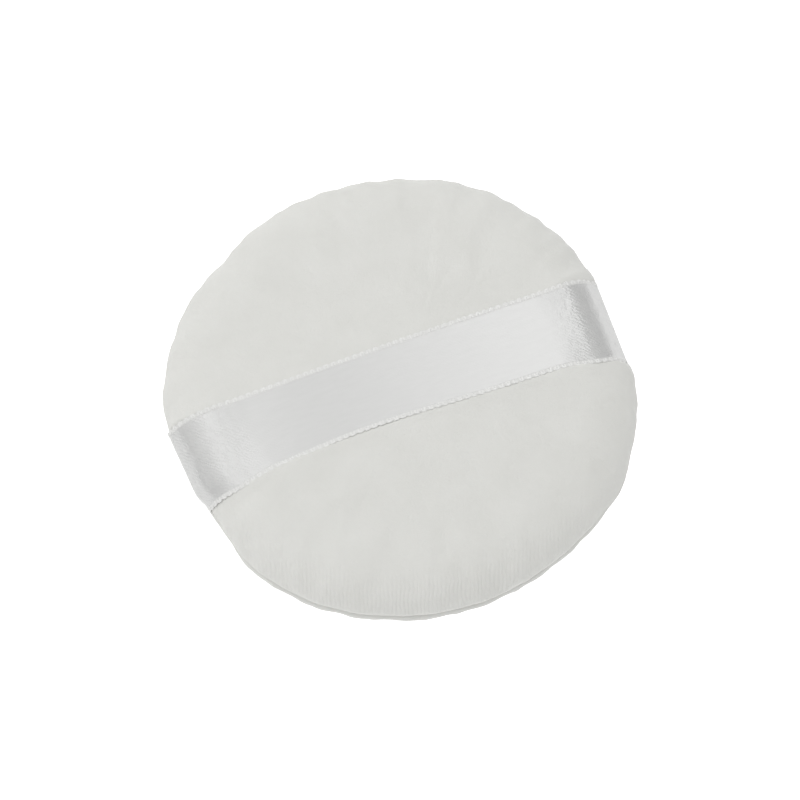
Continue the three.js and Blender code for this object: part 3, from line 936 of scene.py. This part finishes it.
def velour_material():
    """Off-white cut pile: matte with a soft sheen, faintly mottled, and ribbed where the knit is stretched
    at the rim."""
    material, tree, shader = new_material("velour", roughness=0.95, sheen_weight=0.1, sheen_roughness=0.5)
    place = node(tree, "TexCoord").outputs["Object"]
    mottle = noise(tree, place, 1 / MOTTLE_SIZE, 4.0)
    tone = ramp(tree, mottle, (0.3, (0.66, 0.661, 0.63)), (0.7, (0.682, 0.683, 0.654)))
    tree.links.new(tone, shader.inputs["Base Color"])
    pile = noise(tree, place, 1 / PILE_GRAIN, 3.0)
    turned = node(tree, "Mapping", {"Vector": place, "Rotation": (0, 0, -VIEW_AZIMUTH)})
    ribbed = {"Vector": turned.outputs["Vector"], "Scale": math.pi / 10 / RIB_PITCH}
    wale = node(tree, "TexWave", {**ribbed, "Distortion": 4.0, "Detail": 3.0})
    stretch = node(tree, "Attribute", attribute_name="stretch")
    ribs = maths(tree, "MULTIPLY", wale.outputs["Fac"], stretch.outputs["Fac"])
    height = maths(tree, "MULTIPLY_ADD", ribs, RIB_SHARE, pile)
    add_bump(tree, shader, height, 0.5, PILE_RELIEF)
    return material


def satin_material():
    """White satin: floats along the ribbon spread its gloss across it, over a staggered weave, with matte
    looped borders, whose tone is painted darker between the loops as shade. The ribbon's UV map is its place
    across and along, in mm."""
    gloss = {"roughness": SATIN_ROUGHNESS, "specular_ior_level": SATIN_SPECULAR}
    material, tree, shader = new_material("satin", anisotropic=0.9, ior=1.9, **gloss)
    flat = node(tree, "UVMap", uv_map="weave").outputs["UV"]
    streak = node(tree, "Mapping", {"Vector": flat, "Scale": (1.5, 0.3, 1)})
    shade = noise(tree, streak.outputs["Vector"], 1.0, 3.0)
    tone = ramp(tree, shade, (0.3, (0.52, 0.522, 0.51)), (0.7, (0.54, 0.542, 0.53)))
    # Painted shade: the border's tone is darker in the gaps between the weft's loops and lighter on their
    # tops.
    weft = node(tree, "Attribute", attribute_name="loops").outputs["Fac"]
    turns = ramp(tree, weft, (0.2, (0.685, 0.685, 0.667)), (0.9, (0.765, 0.767, 0.751)))
    sides = node(tree, "SeparateXYZ", {"Vector": flat})
    across, along = sides.outputs["X"], sides.outputs["Y"]
    edge = (RIBBON_WIDTH / 2 - BORDER_WIDTH) / MM
    aside = maths(tree, "ABSOLUTE", across)
    limits = {"Value": aside, "From Min": edge - 0.1, "From Max": edge + 0.15}
    border = node(tree, "MapRange", limits).outputs["Result"]
    mixed = {"Factor": border, "A": tone, "B": turns}
    colour = node(tree, "Mix", mixed, data_type="RGBA")
    tree.links.new(colour.outputs["Result"], shader.inputs["Base Color"])
    for socket, middle, at_border in (
        ("Roughness", SATIN_ROUGHNESS, BORDER_ROUGHNESS),
        ("Specular IOR Level", SATIN_SPECULAR, BORDER_SPECULAR),
    ):
        mapped = node(tree, "MapRange", {**limits, "To Min": middle, "To Max": at_border})
        tree.links.new(mapped.outputs["Result"], shader.inputs[socket])
    row = maths(tree, "FLOOR", maths(tree, "DIVIDE", across, FLOAT_WIDTH / MM))
    place = maths(tree, "DIVIDE", along, FLOAT_LENGTH / MM)
    place = maths(tree, "MULTIPLY_ADD", row, FLOAT_STAGGER, place)
    place = maths(tree, "MULTIPLY_ADD", noise(tree, flat, 0.9, 2.0), FLOAT_JITTER, place)
    floats = maths(tree, "SINE", maths(tree, "MULTIPLY", place, 2 * math.pi))
    uneven = maths(tree, "MULTIPLY_ADD", shade, 2.0, maths(tree, "MULTIPLY", floats, 0.5))
    bend = {"Value": maths(tree, "ABSOLUTE", along), "From Min": BEND_START, "From Max": BEND_END}
    bent = node(tree, "MapRange", {**bend, "To Min": RELIEF_FLAT, "To Max": RELIEF_BENT})
    add_bump(tree, shader, uneven, bent.outputs["Result"], FLOAT_RELIEF)
    tangent = node(tree, "Tangent", direction_type="UV_MAP", uv_map="weave")
    tree.links.new(tangent.outputs["Tangent"], shader.inputs["Tangent"])
    return material


def sponge_material():
    """Cream sponge: open cells as pits in a soft matte skin, painted darker inside as shade."""
    material, tree, shader = new_material("sponge", roughness=1.0)
    place = node(tree, "TexCoord").outputs["Object"]
    cells = node(tree, "TexVoronoi", {"Vector": place, "Scale": 1 / SPONGE_GRAIN}).outputs["Distance"]
    # Painted shade: the tone is darker in the cells' pits, where the bump sinks.
    tone = ramp(tree, cells, (0.15, (0.70, 0.67, 0.57)), (0.5, (0.86, 0.84, 0.75)))
    tree.links.new(tone, shader.inputs["Base Color"])
    add_bump(tree, shader, cells, 0.7, SPONGE_RELIEF)
    return material


def thread_material():
    """White sewing thread: fine fibres, a little uneven in tone."""
    material, tree, shader = new_material("thread", roughness=0.6, sheen_weight=0.2)
    place = node(tree, "TexCoord").outputs["Object"]
    fibres = noise(tree, place, 1 / THREAD_GRAIN, 2.0)
    tone = ramp(tree, fibres, (0.3, (0.66, 0.66, 0.63)), (0.7, (0.76, 0.76, 0.73)))
    tree.links.new(tone, shader.inputs["Base Color"])
    add_bump(tree, shader, fibres, 0.5, THREAD_RELIEF)
    return material


def add_soft_box(name, place, width, depth, radiance, level=False):
    """A soft box of even radiance: it hangs level, with its width along X, or is tilted to look at the
    puff."""
    light = bpy.data.lights.new(name, "AREA")
    light.shape = "RECTANGLE"
    light.size = width
    light.size_y = depth
    light.energy = radiance * math.pi * width * depth
    made = bpy.data.objects.new(name, light)
    made.location = place
    x, y, z = place
    tilted = (math.atan2(math.hypot(x, y), z), 0, math.atan2(y, x) + math.pi / 2)
    made.rotation_euler = (0, 0, 0) if level else tilted
    bpy.context.scene.collection.objects.link(made)


def add_camera():
    """The camera at the photograph's viewing angle, with the puff a little above the middle of the
    frame."""
    camera = bpy.data.cameras.new("camera")
    camera.lens = LENS
    camera.sensor_width = SENSOR
    camera.clip_start = NEAREST
    made = bpy.data.objects.new("camera", camera)
    sin_a, cos_a = math.sin(VIEW_AZIMUTH), math.cos(VIEW_AZIMUTH)
    sin_e, cos_e = math.sin(VIEW_ELEVATION), math.cos(VIEW_ELEVATION)
    back = np.array([sin_a * cos_e, -cos_a * cos_e, sin_e])
    up = np.array([-sin_a * sin_e, cos_a * sin_e, cos_e])
    side = np.array([cos_a, sin_a, 0])
    made.location = np.array([0, 0, SEAM]) - VIEW_SIDE * side - VIEW_RISE * up + VIEW_DISTANCE * back
    made.rotation_euler = (math.pi / 2 - VIEW_ELEVATION, 0, VIEW_AZIMUTH)
    bpy.context.scene.collection.objects.link(made)
    bpy.context.scene.camera = made


def add_surround():
    """Even light from all round, darker towards the horizon."""
    world = bpy.data.worlds.new("surround")
    bpy.context.scene.world = world
    world.use_nodes = True
    tree = world.node_tree
    direction = node(tree, "TexCoord").outputs["Generated"]
    height = node(tree, "SeparateXYZ", {"Vector": direction}).outputs["Z"]
    sky = ramp(tree, height, (0.0, (0.2, 0.196, 0.218)), (0.75, (0.5, 0.5, 0.5)))
    tree.links.new(sky, tree.nodes["Background"].inputs["Color"])


def add_stage():
    """A dark floor that glows white, four panels of light overhead, the second one dimmer, and two
    fills."""
    corner = np.array([[-1, -1, 0], [1, -1, 0], [1, 1, 0], [-1, 1, 0]]) * FLOOR_REACH
    floor = new_object("floor", corner, [np.array([[0, 1, 2, 3]])])
    glow = {"emission_color": (1, 1, 1, 1), "emission_strength": FLOOR_GLOW}
    material = new_material("floor", roughness=0.9, base_color=(0.1, 0.1, 0.1, 1), **glow)[0]
    floor.data.materials.append(material)
    add_surround()
    for name, (x, width, radiance) in PANELS.items():
        add_soft_box(name, (x, PANEL_Y, PANEL_HEIGHT), width, PANEL_DEPTH, radiance, level=True)
    add_soft_box("left_fill", (-0.68, 0.36, 0.52), 0.7, 0.5, 0.7)
    add_soft_box("front_fill", (-0.27, -0.85, 0.2), 0.7, 0.4, 0.8)


add_camera()
add_stage()
bpy.context.scene.view_settings.view_transform = "Standard"

velour = velour_material()
satin = satin_material()
sponge_skin = sponge_material()
cotton = thread_material()

back_swell, face_swell = swelling()
velour_back = cover("velour_back", BACK, back_swell)
velour_face = cover("velour_face", FACE, face_swell)
for piece, replaced in ((velour_back, "back_cover"), (velour_face, "face_cover")):
    piece.data.materials.append(velour)
    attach(piece, "pad")
    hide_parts(replaced)

filling = sponge("sponge")
filling.data.materials.append(sponge_skin)
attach(filling, "pad")
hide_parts("foam_core")

for name, replaced, line in (
    ("needle_thread", "seam_needle_thread", lockstitches(1)),
    ("bobbin_thread", "seam_bobbin_thread", lockstitches(-1)),
    ("closing_stitches", "closing_thread", closing_stitches()),
    ("tack_right", "strap_tack_right", tack_stitches(1)),
    ("tack_left", "strap_tack_left", tack_stitches(-1)),
):
    piece = thread(name, line)
    piece.data.materials.append(cotton)
    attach(piece, "pad")
    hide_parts(replaced)

right_half, left_half = (arc_length(strap_line(side))[-1] for side in (1, -1))
step = LOOP_PITCH / LOOP_STEPS
right_steps, left_steps = (round((reach - SPAN_END) / step) for reach in (right_half, left_half))
ribbon_middle = ribbon("ribbon_middle", np.linspace(-SPAN_END, SPAN_END, round(2 * SPAN_END / step)))
ribbon_right = ribbon("ribbon_right", np.linspace(SPAN_END, right_half, right_steps))
ribbon_left = ribbon("ribbon_left", np.linspace(-left_half, -SPAN_END, left_steps))
for piece, replaced in (
    (ribbon_middle, "strap_span"),
    (ribbon_right, "strap_leg_right"),
    (ribbon_left, "strap_leg_left"),
):
    piece.data.materials.append(satin)
    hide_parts(replaced)
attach(ribbon_middle, "strap")
for piece, sign in ((ribbon_right, 1), (ribbon_left, -1)):
    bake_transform(piece)
